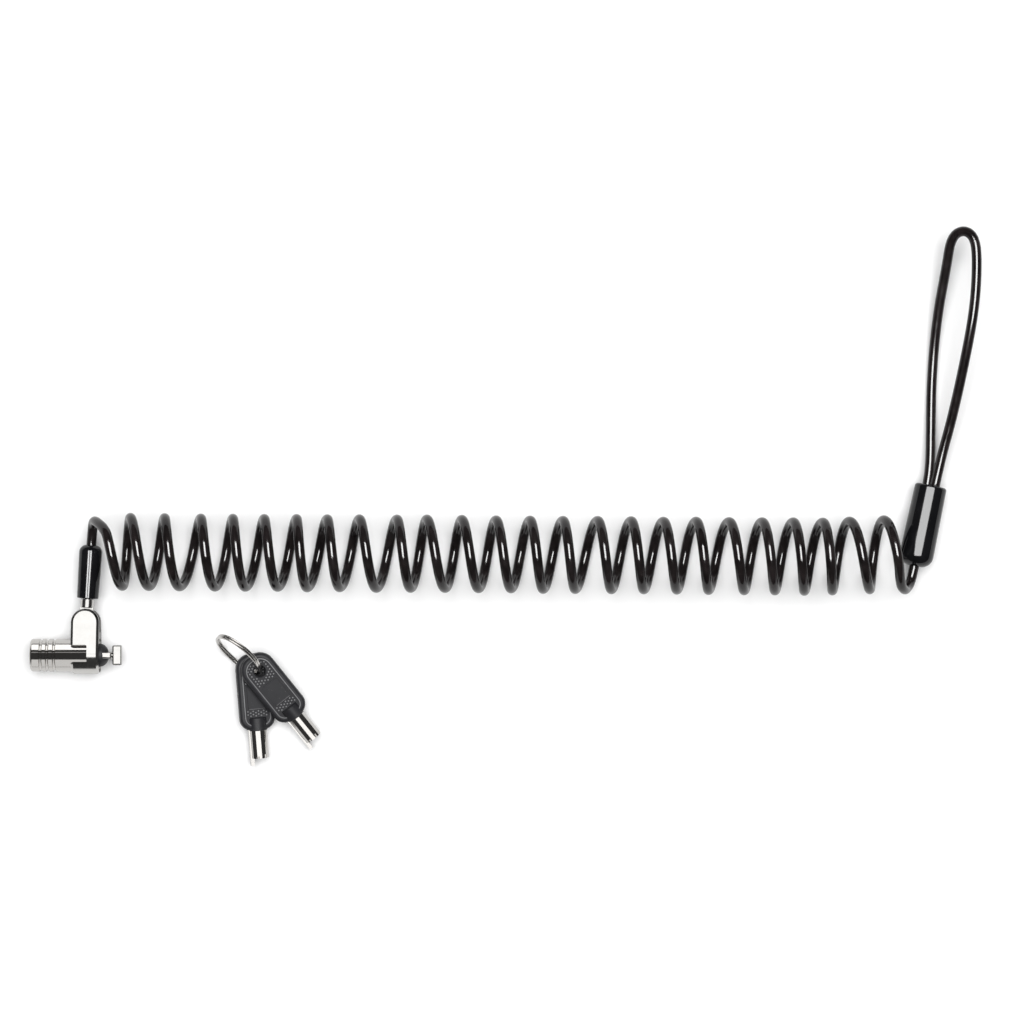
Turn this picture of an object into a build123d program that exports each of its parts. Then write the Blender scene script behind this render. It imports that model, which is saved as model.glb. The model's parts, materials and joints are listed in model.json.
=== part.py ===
from build123d import *
import os
from math import tan, radians, pi

# Cable lock laid out on a flat surface. All lengths in mm, angles in degrees.
# Row frame: surface at Z = 0, cable coil along X, lock head at the left, anchor loop at the right.

# ---- cable ----
CABLE_R = 1.5
ROPE_R = 1.05                      # bare wire rope inside the jacket
COIL_R = 10.4                      # coil centreline radius
COIL_START, COIL_END = -117.6, 124.9
COIL_AXIS_LEFT = (22.25, 11.95)     # Y, Z of the coil's axis at its two ends
COIL_AXIS_RIGHT = (20.9, 11.95)

# ---- lock head placing ----
ARM_X = -122.7                     # middle of the swivel arm
BARREL_Y, BARREL_Z = -9.2, 5.72
PIVOT_DY = 9.95                    # arm pivot ahead of the barrel's axis
NECK_TILT = 3.8                    # neck and cable end lean toward +X

# ---- lock barrel (along X, from the middle of the arm) ----
BARREL_R = 5.0
BARREL_REAR, BARREL_FRONT = -16.8, 3.9
BARREL_BORE_R = 4.25
LIP_LEN = 0.8
REAR_ROUND = 0.9
GRIP_GROOVES = (3.3, 5.3, 7.4)     # from the barrel's rear end
GRIP_GROOVE_R, GRIP_GROOVE_DEPTH = 0.5, 0.4
KEYWAY_R = 2.8
POST_R = 1.85
PACK_R = 4.2                       # outside of everything stacked in the barrel
BUSHING_SPAN = (-15.95, -12.1)
ROTOR_SPAN = (-12.0, -9.0)
ROTOR_R = 3.9
POST_TIP = -16.4
TAIL_SHAFT_R, TAIL_SHAFT_END = 1.3, -3.35
COUPLING_END, COUPLING_T = -2.0, 0.9
STATOR_SPAN = (-8.95, -4.4)
SPRING_PLATE_SPAN = (-4.38, -3.6)
PINS, PIN_CIRCLE_R, PIN_R, PIN_HOLE_R = 7, 2.33, 0.38, 0.41
KEY_PIN_SPAN = (-12.6, -9.02)
DRIVER_SPAN = (-8.93, -7.2)
SPRING_SPAN = (-7.18, -4.4)
SPRING_R, SPRING_HOLE_R = 0.36, 0.24
SPACER_SPAN, SPACER_R = (-3.55, 0.55), 3.3
WASHER_SPAN, WASHER_HOLE_R = (-0.95, -0.35), 1.12
CAP_SPAN = (0.6, 3.9)
SNAP_RING_X, SNAP_RING_R, SNAP_WIRE_R = 2.5, 5.0, 0.26
BODY_PIN_X, BODY_PIN_R = -6.6, 0.6

# ---- nose, guide pins and T-bar ----
NOSE_R, NOSE_BASE, NOSE_TIP = 3.45, 4.4, 7.0
GUIDE_PIN_R, GUIDE_PIN_Z, GUIDE_PIN_SPAN = 1.0, 2.2, (1.2, 7.9)
STEM_R, HUB_R, HUB_SPAN = 1.05, 2.2, (-3.3, -1.0)
T_SPAN, T_WIDTH, T_THICK, T_ROUND = (8.1, 10.9), 6.1, 2.5, 0.5

# ---- swivel arm and neck ----
ARM_WIDTH = 8.54
ARM_RING_R, ARM_BORE_R = 5.7, 5.05
ARM_END_HALF = 3.2
ARM_BEVEL = 0.6
CLEVIS_GAP, CLEVIS_DEPTH = 2.8, 3.0
NOTCH_RIGHT, NOTCH_LOW, NOTCH_HIGH = 0.7, -2.4, 3.3
HINGE_PIN_R, HINGE_HOLE_R, HINGE_BLIND = 1.2, 1.25, 2.5
WASHER_T = 0.35
EYE_R, EYE_T, TONGUE_W = 2.6, 2.0, 3.9
COLLAR_R, COLLAR_SPAN = 2.05, (4.5, 7.28)
SHANK_R, SHANK_END = 1.2, 10.5
NECK_HEAD_R, NECK_HEAD_END = 1.9, 11.6

# ---- lock end sleeve and ferrule (distance from the pivot along the neck) ----
SLEEVE_SPAN = (7.39, 23.65)
SLEEVE_R_NECK, SLEEVE_R_CABLE, SLEEVE_SHOULDER = 3.25, 3.45, 2.0
SOCKET_R, SOCKET_DEPTH = 1.6, 3.0
FERRULE_SPAN, FERRULE_R = (7.45, 19.5), 2.65
FERRULE_ROOM_R, FERRULE_ROOM_END = 2.0, 11.9
NECK_BUSH_SPAN = (7.6, 10.4)
ROPE_START = 12.4

# ---- loop sleeve ----
LOOP_SLEEVE_LOW = (129.53, 17.95, 5.27)
LOOP_SLEEVE_HIGH = (134.68, 42.47, 5.27)
LOOP_SLEEVE_R_LOW, LOOP_SLEEVE_R_HIGH = 5.25, 4.85
LOOP_SLEEVE_ROUND_LOW, LOOP_SLEEVE_ROUND_HIGH = 3.6, 0.8
STRAND_OFFSET, STRAND_TURN = 1.52, -46.0   # the two strands, one higher than the other
LOOP_FERRULE_SPAN, LOOP_FERRULE_H, LOOP_FERRULE_W = (7.0, 19.0), 5.0, 7.6
LOOP_ROPE_TURN = 6.0

# ---- split ring ----
RING_CENTRE = (-76.06, -8.81, 8.25)
RING_U = (0.7756, -0.6313, 0.0)    # across the ring, level
RING_W = (0.2211, 0.2716, 0.9367)  # across the ring, up its slope
RING_R, RING_WIRE_W, RING_WIRE_T = 8.0, 0.8, 0.72
RING_GAP = 0.05
RING_BRIDGE_AT, RING_BRIDGE_DEG, RING_CUT_DEG, RING_CUT_W = 118.0, 16.0, 7.0, 0.9

# ---- keys (along X from the ring hole, thickness along Z) ----
HEAD_BACK, HEAD_END = -5.4, 18.0
HEAD_W, HEAD_T = 10.8, 3.4
HEAD_ROUND_RING, HEAD_ROUND_TUBE, HEAD_EDGE = 4.8, 3.6, 1.15
FIELD_INSET, FIELD_DEPTH = 1.5, 0.55
KEY_HOLE_R, KEY_HOLE_BEVEL = 1.7, 0.3
PAD_AT, PAD_L, PAD_W, PAD_H = 8.0, 7.2, 5.6, 0.4
KEY_COLLAR_R, KEY_COLLAR_SPAN = 2.9, (14.1, 18.2)
TUBE_R, TUBE_BORE_R, TUBE_SPAN = 2.7, 1.95, (14.95, 26.6)
LUG_END, LUG_OUT, LUG_W = 28.8, 3.1, 1.2
BITTING = (0.7, 1.3, 0.5, 1.6, 0.9, 0.4, 1.1)
BITTING_R = 0.42
KEY_A_AT, KEY_A_TURN, KEY_A_DIP, KEY_A_ROLL = (-69.7, -13.85, 8.05), -52.0, 10.9, 0.0
KEY_B_AT, KEY_B_TURN, KEY_B_DIP, KEY_B_ROLL = (-71.9, -14.1, 4.25), -85.6, 3.0, 17.0

# ---- routes of the free cord, corner by corner ----
LEAD_ROUTE = [(-121.33, 21.35, 5.72), (-120.75, 28.9, 5.75), (-120.0, 31.4, 8.9), (-118.3, 30.7, 14.6)]
TAIL_ROUTE = [(124.2, 12.4, 17.0), (125.7, 10.9, 12.6), (126.7, 10.9, 9.0), (128.5, 13.0, 5.3),
              (130.15, 20.89, 5.27)]
LOOP_ROUTE = [(133.03, 39.75, 4.18), (134.58, 47.95, 4.12), (134.9, 60.5, 2.2), (135.3, 77.0, 1.21),
              (136.7, 94.3, 3.8), (139.15, 108.85, 6.9), (140.3, 117.9, 9.2), (144.05, 120.15, 10.6),
              (147.5, 117.3, 11.8), (147.87, 108.3, 12.5), (146.9, 94.9, 12.8), (143.8, 77.5, 10.6),
              (140.5, 61.9, 8.3), (137.2, 49.6, 6.6), (135.09, 39.31, 6.36)]


def rod(r, x0, x1):
    """Round bar along X."""
    return Pos(x0, 0, 0) * Rot(0, 90, 0) * Cylinder(r, x1 - x0, align=(Align.CENTER, Align.CENTER, Align.MIN))


def ring_bar(r, hole_r, x0, x1):
    return rod(r, x0, x1) - rod(hole_r, x0 - 1, x1 + 1)


def upright(r, z0, z1, x=0.0, y=0.0):
    return Pos(x, y, z0) * Cylinder(r, z1 - z0, align=(Align.CENTER, Align.CENTER, Align.MIN))


def block(x0, x1, y0, y1, z0, z1):
    return Pos((x0 + x1) / 2, (y0 + y1) / 2, (z0 + z1) / 2) * Box(abs(x1 - x0), abs(y1 - y0), abs(z1 - z0))


def around(piece):
    """The same piece at each of the tumbler positions about X."""
    turns = [90 + i * 360 / PINS for i in range(PINS)]
    return [Rot(a, 0, 0) * Pos(0, PIN_CIRCLE_R, 0) * piece for a in turns]


# ---- lock, in the lock frame: X along the barrel, origin in the middle of the arm ----
def lock_barrel():
    body = rod(BARREL_R, BARREL_REAR, BARREL_FRONT)
    body = fillet(body.edges().group_by(Axis.X)[0], REAR_ROUND)
    body -= rod(BARREL_BORE_R, BARREL_REAR + LIP_LEN, BARREL_FRONT + 1)
    body -= rod(KEYWAY_R, BARREL_REAR - 1, BARREL_REAR + LIP_LEN + 1)
    body -= block(BARREL_REAR - 1, BARREL_REAR + LIP_LEN + 0.5, -LUG_OUT - 0.15, 0, -LUG_W / 2 - 0.1, LUG_W / 2 + 0.1)
    lift = GRIP_GROOVE_R - GRIP_GROOVE_DEPTH
    for at in GRIP_GROOVES:
        body -= Pos(BARREL_REAR + at, 0, 0) * Rot(0, 90, 0) * Torus(BARREL_R + lift, GRIP_GROOVE_R)
    body -= Pos(SNAP_RING_X, 0, 0) * Rot(0, 90, 0) * Torus(SNAP_RING_R, SNAP_WIRE_R)
    return body - upright(BODY_PIN_R, -BARREL_R - 1, 0, BODY_PIN_X)


def snap_ring():
    whole = Rot(0, 90, 0) * Torus(SNAP_RING_R, SNAP_WIRE_R)
    return Pos(SNAP_RING_X, 0, 0) * (whole - block(-1, 1, SNAP_RING_R - 1, SNAP_RING_R + 1, -0.9, 0.9))


def keyway_bushing():
    x0, x1 = BUSHING_SPAN
    slot = block(x0 - 1, x1 + 1, -LUG_OUT - 0.15, 0, -LUG_W / 2 - 0.1, LUG_W / 2 + 0.1)
    return ring_bar(PACK_R, KEYWAY_R, x0, x1) - slot


def lock_rotor():
    x0, x1 = ROTOR_SPAN
    body = rod(ROTOR_R, x0, x1) + rod(POST_R, POST_TIP, x0 + 0.1)
    body = chamfer(body.edges().group_by(Axis.X)[0], 0.3)
    body += rod(TAIL_SHAFT_R, x1 - 0.1, TAIL_SHAFT_END)
    body += block(TAIL_SHAFT_END - 0.1, COUPLING_END, -TAIL_SHAFT_R * 0.85, TAIL_SHAFT_R * 0.85,
                  -COUPLING_T / 2, COUPLING_T / 2)
    for hole in around(rod(PIN_HOLE_R, x0 - 1, x1 + 1)):
        body -= hole
    return body


def stator():
    x0, x1 = STATOR_SPAN
    body = ring_bar(PACK_R, TAIL_SHAFT_R + 0.05, x0, x1)
    for hole in around(rod(PIN_HOLE_R, x0 - 1, x1 + 1)):
        body -= hole
    return body - upright(BODY_PIN_R, -BARREL_R - 1, -PACK_R + 0.6, BODY_PIN_X)


def body_pin():
    return upright(BODY_PIN_R, -BARREL_R + 0.02, -PACK_R + 0.55, BODY_PIN_X)


def key_pins():
    pin = chamfer(rod(PIN_R, *KEY_PIN_SPAN).edges().group_by(Axis.X)[0], 0.12)
    return Compound(children=around(pin))


def driver_pins():
    return Compound(children=around(rod(PIN_R, *DRIVER_SPAN)))


def pin_springs():
    return Compound(children=around(ring_bar(SPRING_R, SPRING_HOLE_R, *SPRING_SPAN)))


def spring_plate():
    return ring_bar(PACK_R, TAIL_SHAFT_R + 0.05, *SPRING_PLATE_SPAN)


def spacer_sleeve():
    return ring_bar(PACK_R, SPACER_R, *SPACER_SPAN)


def thrust_washer():
    return ring_bar(SPACER_R - 0.05, WASHER_HOLE_R, *WASHER_SPAN)


def nose_cap():
    x0, x1 = CAP_SPAN
    body = ring_bar(PACK_R, STEM_R + 0.06, x0, x1)
    for side in (-1, 1):
        body -= Pos(0, 0, side * GUIDE_PIN_Z) * rod(GUIDE_PIN_R, GUIDE_PIN_SPAN[0], x1 + 1)
    return body


def guide_pins():
    pin = fillet(rod(GUIDE_PIN_R, *GUIDE_PIN_SPAN).edges().group_by(Axis.X)[-1], 0.35)
    return Compound(children=[Pos(0, 0, side * GUIDE_PIN_Z) * pin for side in (-1, 1)])


def rubber_nose():
    x0 = BARREL_FRONT
    with BuildPart() as dome:
        with BuildSketch(Plane.XY):
            with BuildLine():
                Polyline((NOSE_TIP, 0), (x0, 0), (x0, NOSE_R), (NOSE_BASE, NOSE_R))
                EllipticalCenterArc((NOSE_BASE, 0), NOSE_TIP - NOSE_BASE, NOSE_R, start_angle=0, arc_size=90)
            make_face()
        revolve(axis=Axis.X)
    body = dome.part - rod(STEM_R + 0.08, x0 - 1, NOSE_TIP + 1)
    for side in (-1, 1):
        body -= Pos(0, 0, side * GUIDE_PIN_Z) * rod(GUIDE_PIN_R, x0 - 1, NOSE_TIP + 1)
    return body


def t_bar():
    x0, x1 = T_SPAN
    head = block(x0, x1, -T_WIDTH / 2, T_WIDTH / 2, -T_THICK / 2, T_THICK / 2)
    head = fillet(head.edges(), T_ROUND)
    slot = block(HUB_SPAN[0] - 0.1, COUPLING_END + 0.1, -TAIL_SHAFT_R * 0.85 - 0.05, TAIL_SHAFT_R * 0.85 + 0.05,
                 -COUPLING_T / 2 - 0.03, COUPLING_T / 2 + 0.03)
    return head + rod(STEM_R, HUB_SPAN[1] - 0.1, x0 + 0.2) + (rod(HUB_R, *HUB_SPAN) - slot)


# ---- arm and neck, still in the lock frame ----
def swivel_arm():
    half, end = ARM_WIDTH / 2, PIVOT_DY + ARM_WIDTH / 2
    with BuildPart() as side:
        with BuildSketch(Plane.YZ):
            Circle(ARM_RING_R)
            with Locations((end / 2, 0)):
                Rectangle(end, 2 * ARM_END_HALF)
            make_hull()
        extrude(amount=half, both=True)
    plan = block(-half, half, -ARM_RING_R - 1, PIVOT_DY, -9, 9) + upright(half, -9, 9, 0, PIVOT_DY)
    body = side.part & plan
    rim = [e for e in body.edges()
           if not (e.geom_type == GeomType.LINE and (abs(e.tangent_at(0).X) > 0.99 or abs(e.tangent_at(0).Z) > 0.99))]
    body = chamfer(rim, ARM_BEVEL)
    body -= rod(ARM_BORE_R, -half - 1, half + 1)
    body -= block(-half - 1, NOTCH_RIGHT, NOTCH_LOW, NOTCH_HIGH, -9, 9)
    body -= block(-half - 1, half + 1, PIVOT_DY - CLEVIS_DEPTH, end + 1, -CLEVIS_GAP / 2, CLEVIS_GAP / 2)
    body -= Pos(SNAP_RING_X, 0, 0) * Rot(0, 90, 0) * Torus(SNAP_RING_R, SNAP_WIRE_R + 0.06)
    return body - upright(HINGE_PIN_R, -9, HINGE_BLIND, 0, PIVOT_DY)


def clevis_pin():
    return upright(HINGE_PIN_R, -ARM_END_HALF - 0.25, HINGE_BLIND, 0, PIVOT_DY)


def hinge_washers():
    gap = (CLEVIS_GAP - EYE_T) / 2 - WASHER_T
    low = EYE_T / 2 + gap / 2
    one = upright(EYE_R, low, low + WASHER_T) - upright(HINGE_HOLE_R, low - 1, low + 1)
    return Pos(0, PIVOT_DY, 0) * Compound(children=[one, mirror(one, Plane.XY)])


# ---- neck frame: X along the neck and cable end, origin at the pivot ----
def swivel_neck():
    tongue = upright(EYE_R, -EYE_T / 2, EYE_T / 2) + block(0, COLLAR_SPAN[0] + 0.2, -TONGUE_W / 2, TONGUE_W / 2,
                                                           -EYE_T / 2, EYE_T / 2)
    tongue -= upright(HINGE_HOLE_R, -2, 2)
    collar = chamfer(rod(COLLAR_R, *COLLAR_SPAN).edges(), 0.2)
    return tongue + collar + rod(SHANK_R, COLLAR_SPAN[1] - 0.5, SHANK_END + 0.1) + rod(NECK_HEAD_R, SHANK_END,
                                                                                     NECK_HEAD_END)


def neck_bush():
    return ring_bar(FERRULE_ROOM_R, SHANK_R + 0.05, *NECK_BUSH_SPAN)


def lock_end_ferrule():
    x0, x1 = FERRULE_SPAN
    body = rod(FERRULE_R, x0, x1) - rod(FERRULE_ROOM_R, x0 - 1, FERRULE_ROOM_END) - rod(ROPE_R, x0, x1 + 1)
    return chamfer(body.edges().group_by(Axis.X)[-1].filter_by(GeomType.CIRCLE).sort_by(SortBy.LENGTH)[-1], 0.3)


def lock_end_rope():
    return rod(ROPE_R, ROPE_START, SLEEVE_SPAN[1] - SOCKET_DEPTH)


def lock_end_sleeve():
    x0, x1 = SLEEVE_SPAN
    body = Pos(x0, 0, 0) * Rot(0, 90, 0) * Cone(SLEEVE_R_NECK, SLEEVE_R_CABLE, x1 - x0,
                                               align=(Align.CENTER, Align.CENTER, Align.MIN))
    body = fillet(body.edges().group_by(Axis.X)[-1], SLEEVE_SHOULDER - 0.1)
    body = chamfer(body.edges().group_by(Axis.X)[0], 0.25)
    body -= rod(FERRULE_R, x0 - 1, FERRULE_SPAN[1])
    body -= rod(ROPE_R, x0, x1 - SOCKET_DEPTH + 0.1)
    return body - rod(SOCKET_R, x1 - SOCKET_DEPTH, x1 + 1)


# ---- loop sleeve frame: X along the sleeve from its coil end ----
def loop_length():
    return (Vector(*LOOP_SLEEVE_HIGH) - Vector(*LOOP_SLEEVE_LOW)).length


def loop_sleeve():
    long = loop_length()
    body = Rot(0, 90, 0) * Cone(LOOP_SLEEVE_R_LOW, LOOP_SLEEVE_R_HIGH, long,
                                align=(Align.CENTER, Align.CENTER, Align.MIN))
    body = fillet(body.edges().group_by(Axis.X)[0], LOOP_SLEEVE_ROUND_LOW)
    body = fillet(body.edges().group_by(Axis.X)[-1], LOOP_SLEEVE_ROUND_HIGH)
    body -= rod(SOCKET_R, -1, SOCKET_DEPTH)
    for side in (-1, 1):
        body -= Rot(STRAND_TURN, 0, 0) * Pos(0, side * STRAND_OFFSET, 0) * rod(SOCKET_R, long - SOCKET_DEPTH, long + 1)
    body -= ferrule_outline()
    for rope in loop_rope_list():
        body -= rope
    return body


def ferrule_outline():
    x0, x1 = LOOP_FERRULE_SPAN
    body = block(x0, x1, -LOOP_FERRULE_W / 2, LOOP_FERRULE_W / 2, -LOOP_FERRULE_H / 2, LOOP_FERRULE_H / 2)
    return Rot(STRAND_TURN, 0, 0) * fillet(body.edges().filter_by(Axis.X), LOOP_FERRULE_H / 2 - 0.02)


def loop_rope_list():
    """Bare rope inside the sleeve: the live end steps sideways, the dead end stops in the ferrule."""
    end = loop_length() - SOCKET_DEPTH
    x0 = LOOP_FERRULE_SPAN[0]
    path = FilletPolyline((SOCKET_DEPTH, 0, 0), (LOOP_ROPE_TURN, 0.1, 0), (x0 + LOOP_ROPE_TURN, STRAND_OFFSET, 0),
                          (end, STRAND_OFFSET, 0), radius=6.0)
    live = sweep(path.location_at(0) * Circle(ROPE_R), path=path)
    pair = [live, Pos(0, -STRAND_OFFSET, 0) * rod(ROPE_R, x0 + 1, end)]
    return [Rot(STRAND_TURN, 0, 0) * rope for rope in pair]


def loop_ferrule():
    body = ferrule_outline()
    for rope in loop_rope_list():
        body -= rope
    return body


def loop_rope():
    return Compound(children=loop_rope_list())


# ---- split ring, in the ring's own plane ----
def split_ring():
    half = RING_WIRE_T + RING_GAP / 2
    outer, inner = RING_R + RING_WIRE_W / 2, RING_R - RING_WIRE_W / 2
    body = upright(outer, -half, half) - upright(inner, -half - 1, half + 1)
    between = upright(outer + 1, -RING_GAP / 2, RING_GAP / 2) - upright(inner - 1, -1, 1)
    across = 2 * RING_R * tan(radians(RING_BRIDGE_DEG / 2))
    between -= Rot(0, 0, RING_BRIDGE_AT) * Pos(RING_R, 0, 0) * Box(6, across, 4)
    body -= between
    for side in (-1, 1):
        cut_at = RING_BRIDGE_AT + side * (RING_BRIDGE_DEG + RING_CUT_DEG) / 2
        opening = block(RING_R - 2, RING_R + 2, -RING_CUT_W / 2, RING_CUT_W / 2, 0, 2 * side)
        body -= Rot(0, 0, cut_at) * opening
    return body


# ---- key, in its own frame: ring hole at the origin, tube along +X ----
def head_outline(inset, z0, z1):
    half = HEAD_W / 2 - inset
    body = block(HEAD_BACK + inset, HEAD_END - inset, -half, half, z0, z1)
    back = body.edges().filter_by(Axis.Z).group_by(Axis.X)[0]
    body = fillet(back, HEAD_ROUND_RING - inset * 0.8)
    front = body.edges().filter_by(Axis.Z).group_by(Axis.X)[-1]
    return fillet(front, HEAD_ROUND_TUBE - inset * 0.8)


def key_head():
    half = HEAD_T / 2
    body = head_outline(0, -half, half)
    flat = [e for e in body.edges() if abs(abs(e.center().Z) - half) < 0.01]
    body = fillet(flat, HEAD_EDGE)
    for z0, z1 in ((half - FIELD_DEPTH, half + 1), (-half - 1, -half + FIELD_DEPTH)):
        body -= head_outline(FIELD_INSET, z0, z1)
    pad = block(PAD_AT - PAD_L / 2, PAD_AT + PAD_L / 2, -PAD_W / 2, PAD_W / 2,
                -half + FIELD_DEPTH - PAD_H, half - FIELD_DEPTH + PAD_H)
    pad = fillet(pad.edges().filter_by(Axis.Z), 1.0)
    collar = chamfer(rod(KEY_COLLAR_R, *KEY_COLLAR_SPAN).edges(), 0.25)
    body = body + pad + collar
    body -= rod(TUBE_R, TUBE_SPAN[0], TUBE_SPAN[1])
    hole = upright(KEY_HOLE_R, -half, half)
    inner = half - FIELD_DEPTH
    for z, side in ((inner, 1), (-inner, -1)):
        rise = KEY_HOLE_BEVEL
        cone = Cone(KEY_HOLE_R, KEY_HOLE_R + rise, rise, align=(Align.CENTER, Align.CENTER, Align.MAX))
        hole += Pos(0, 0, z) * (cone if side > 0 else Rot(180, 0, 0) * cone)
    return body - hole - lug_bar()


def lug_bar():
    """Index rib along the tube's -Y side, ending in the lug past the tube's mouth."""
    lug = block(TUBE_SPAN[0], LUG_END, -LUG_OUT, -TUBE_BORE_R, -LUG_W / 2, LUG_W / 2)
    return lug & rod(LUG_OUT, TUBE_SPAN[0] - 1, LUG_END + 1)


def key_tube():
    x0, x1 = TUBE_SPAN
    body = ring_bar(TUBE_R, TUBE_BORE_R, x0, x1)
    for i, depth in enumerate(BITTING):
        at = Rot(90 + (i + 0.5) * 360 / PINS, 0, 0)
        body -= at * Pos(0, TUBE_R, 0) * rod(BITTING_R, x1 - depth, x1 + 1)
    return body + (lug_bar() - rod(TUBE_BORE_R, x0 - 1, LUG_END + 1))


# ---- free cord ----
def tube(name, route):
    """Tube through the route's corners, each rounded as far as its two runs allow."""
    points = [Vector(*p) for p in route]
    radii = []
    for a, b, c in zip(points, points[1:], points[2:]):
        turn = radians((b - a).get_angle(c - b))
        radii.append(0.45 * min((b - a).length, (c - b).length) / tan(turn / 2))
    path = FilletPolyline(*points, radius=radii)
    body = sweep(path.location_at(0) * Circle(CABLE_R), path=path)
    section = pi * CABLE_R ** 2 * path.length
    print(name, "length", round(path.length, 2), "volume", round(body.volume, 1), "of", round(section, 1),
          "radii", [round(r, 1) for r in radii])
    return body


def cable_coil():
    a = Vector(COIL_START, *COIL_AXIS_LEFT)
    b = Vector(COIL_END, *COIL_AXIS_RIGHT)
    return Solid.make_cylinder(COIL_R + CABLE_R, (b - a).length, Plane(a, z_dir=b - a))


# ---- placing ----
LOCK = Location((ARM_X, BARREL_Y, BARREL_Z))
NECK = Location((ARM_X, BARREL_Y + PIVOT_DY, BARREL_Z), (0, 0, 90 - NECK_TILT))
LOOP_AXIS = Vector(*LOOP_SLEEVE_HIGH) - Vector(*LOOP_SLEEVE_LOW)
LOOP_SLEEVE = Location(Plane(LOOP_SLEEVE_LOW, x_dir=LOOP_AXIS, z_dir=(0, 0, 1)))
RING = Location(Plane(RING_CENTRE, x_dir=RING_U, z_dir=Vector(*RING_U).cross(Vector(*RING_W))))


def key_place(at, turn, dip, roll):
    return Pos(*at) * Rot(0, 0, turn) * Rot(0, dip, 0) * Rot(roll, 0, 0)


KEY_A = key_place(KEY_A_AT, KEY_A_TURN, KEY_A_DIP, -KEY_A_ROLL)
KEY_B = key_place(KEY_B_AT, KEY_B_TURN, KEY_B_DIP, -KEY_B_ROLL)

NODES = {
    "cable_lead": tube("cable_lead", LEAD_ROUTE),
    "cable_coil": cable_coil(),
    "cable_tail": tube("cable_tail", TAIL_ROUTE),
    "cable_loop": tube("cable_loop", LOOP_ROUTE),
    "lock_end_sleeve": NECK * lock_end_sleeve(),
    "lock_end_ferrule": NECK * lock_end_ferrule(),
    "lock_end_rope": NECK * lock_end_rope(),
    "neck_bush": NECK * neck_bush(),
    "loop_sleeve": LOOP_SLEEVE * loop_sleeve(),
    "loop_ferrule": LOOP_SLEEVE * loop_ferrule(),
    "loop_rope": LOOP_SLEEVE * loop_rope(),
    "swivel_neck": NECK * swivel_neck(),
    "swivel_arm": LOCK * swivel_arm(),
    "clevis_pin": LOCK * clevis_pin(),
    "hinge_washers": LOCK * hinge_washers(),
    "lock_barrel": LOCK * lock_barrel(),
    "snap_ring": LOCK * snap_ring(),
    "keyway_bushing": LOCK * keyway_bushing(),
    "stator": LOCK * stator(),
    "body_pin": LOCK * body_pin(),
    "spring_plate": LOCK * spring_plate(),
    "pin_springs": LOCK * pin_springs(),
    "spacer_sleeve": LOCK * spacer_sleeve(),
    "thrust_washer": LOCK * thrust_washer(),
    "nose_cap": LOCK * nose_cap(),
    "guide_pins": LOCK * guide_pins(),
    "rubber_nose": LOCK * rubber_nose(),
    "driver_pins": LOCK * driver_pins(),
    "lock_rotor": LOCK * lock_rotor(),
    "key_pins": LOCK * key_pins(),
    "t_bar": LOCK * t_bar(),
    "split_ring": RING * split_ring(),
    "key_a_head": KEY_A * key_head(),
    "key_a_tube": KEY_A * key_tube(),
    "key_b_head": KEY_B * key_head(),
    "key_b_tube": KEY_B * key_tube(),
}

os.makedirs("parts", exist_ok=True)
for name, shape in NODES.items():
    box = shape.bounding_box()
    print(name, "solids", len(shape.solids()), "valid", shape.is_valid, "volume", round(shape.volume, 2),
          "low", [round(v, 2) for v in box.min], "high", [round(v, 2) for v in box.max])
    export_step(shape, f"parts/{name}.step")
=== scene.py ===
import json
import math
import random
import bpy
import bmesh
from mathutils import Matrix, Vector


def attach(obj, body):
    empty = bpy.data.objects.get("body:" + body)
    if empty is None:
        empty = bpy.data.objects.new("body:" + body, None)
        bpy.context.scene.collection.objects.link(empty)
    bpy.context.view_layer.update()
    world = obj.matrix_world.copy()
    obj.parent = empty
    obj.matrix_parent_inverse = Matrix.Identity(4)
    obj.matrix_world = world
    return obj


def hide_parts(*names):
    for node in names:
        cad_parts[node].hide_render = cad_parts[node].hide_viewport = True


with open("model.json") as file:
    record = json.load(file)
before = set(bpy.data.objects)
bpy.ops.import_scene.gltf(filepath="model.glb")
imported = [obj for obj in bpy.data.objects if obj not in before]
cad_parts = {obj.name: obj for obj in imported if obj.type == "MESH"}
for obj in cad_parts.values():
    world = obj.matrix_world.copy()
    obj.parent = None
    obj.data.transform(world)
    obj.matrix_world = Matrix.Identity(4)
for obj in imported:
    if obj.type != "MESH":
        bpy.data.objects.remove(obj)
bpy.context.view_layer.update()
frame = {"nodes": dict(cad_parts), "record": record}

mm = 0.001
nodes = frame["nodes"]
random.seed(7)
print("frame loaded")


def atMm(x, y, z):
    return Vector((x * mm, y * mm, z * mm))


def deselectAll():
    if bpy.context.object and bpy.context.object.mode != "OBJECT":
        bpy.ops.object.mode_set(mode="OBJECT")
    bpy.ops.object.select_all(action="DESELECT")


def makeActive(piece):
    deselectAll()
    bpy.context.view_layer.objects.active = piece
    piece.select_set(True)


def applyPlace(piece):
    makeActive(piece)
    bpy.ops.object.transform_apply(location=True, rotation=True, scale=True)
    return piece


def addBlock(low, high):
    deselectAll()
    middle = [(a + b) / 2 for a, b in zip(low, high)]
    bpy.ops.mesh.primitive_cube_add(size=1, location=middle, scale=[b - a for a, b in zip(low, high)])
    return applyPlace(bpy.context.object)


def addRod(start, end, radius, endRadius=None, sides=64, upright=False, at=(0, 0)):
    deselectAll()
    middle = (start + end) / 2
    bpy.ops.mesh.primitive_cone_add(vertices=sides, radius1=radius, radius2=endRadius or radius, depth=end - start,
                                    location=(*at, middle) if upright else (middle, *at),
                                    rotation=(0, 0, 0) if upright else (0, math.pi / 2, 0))
    return applyPlace(bpy.context.object)


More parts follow.
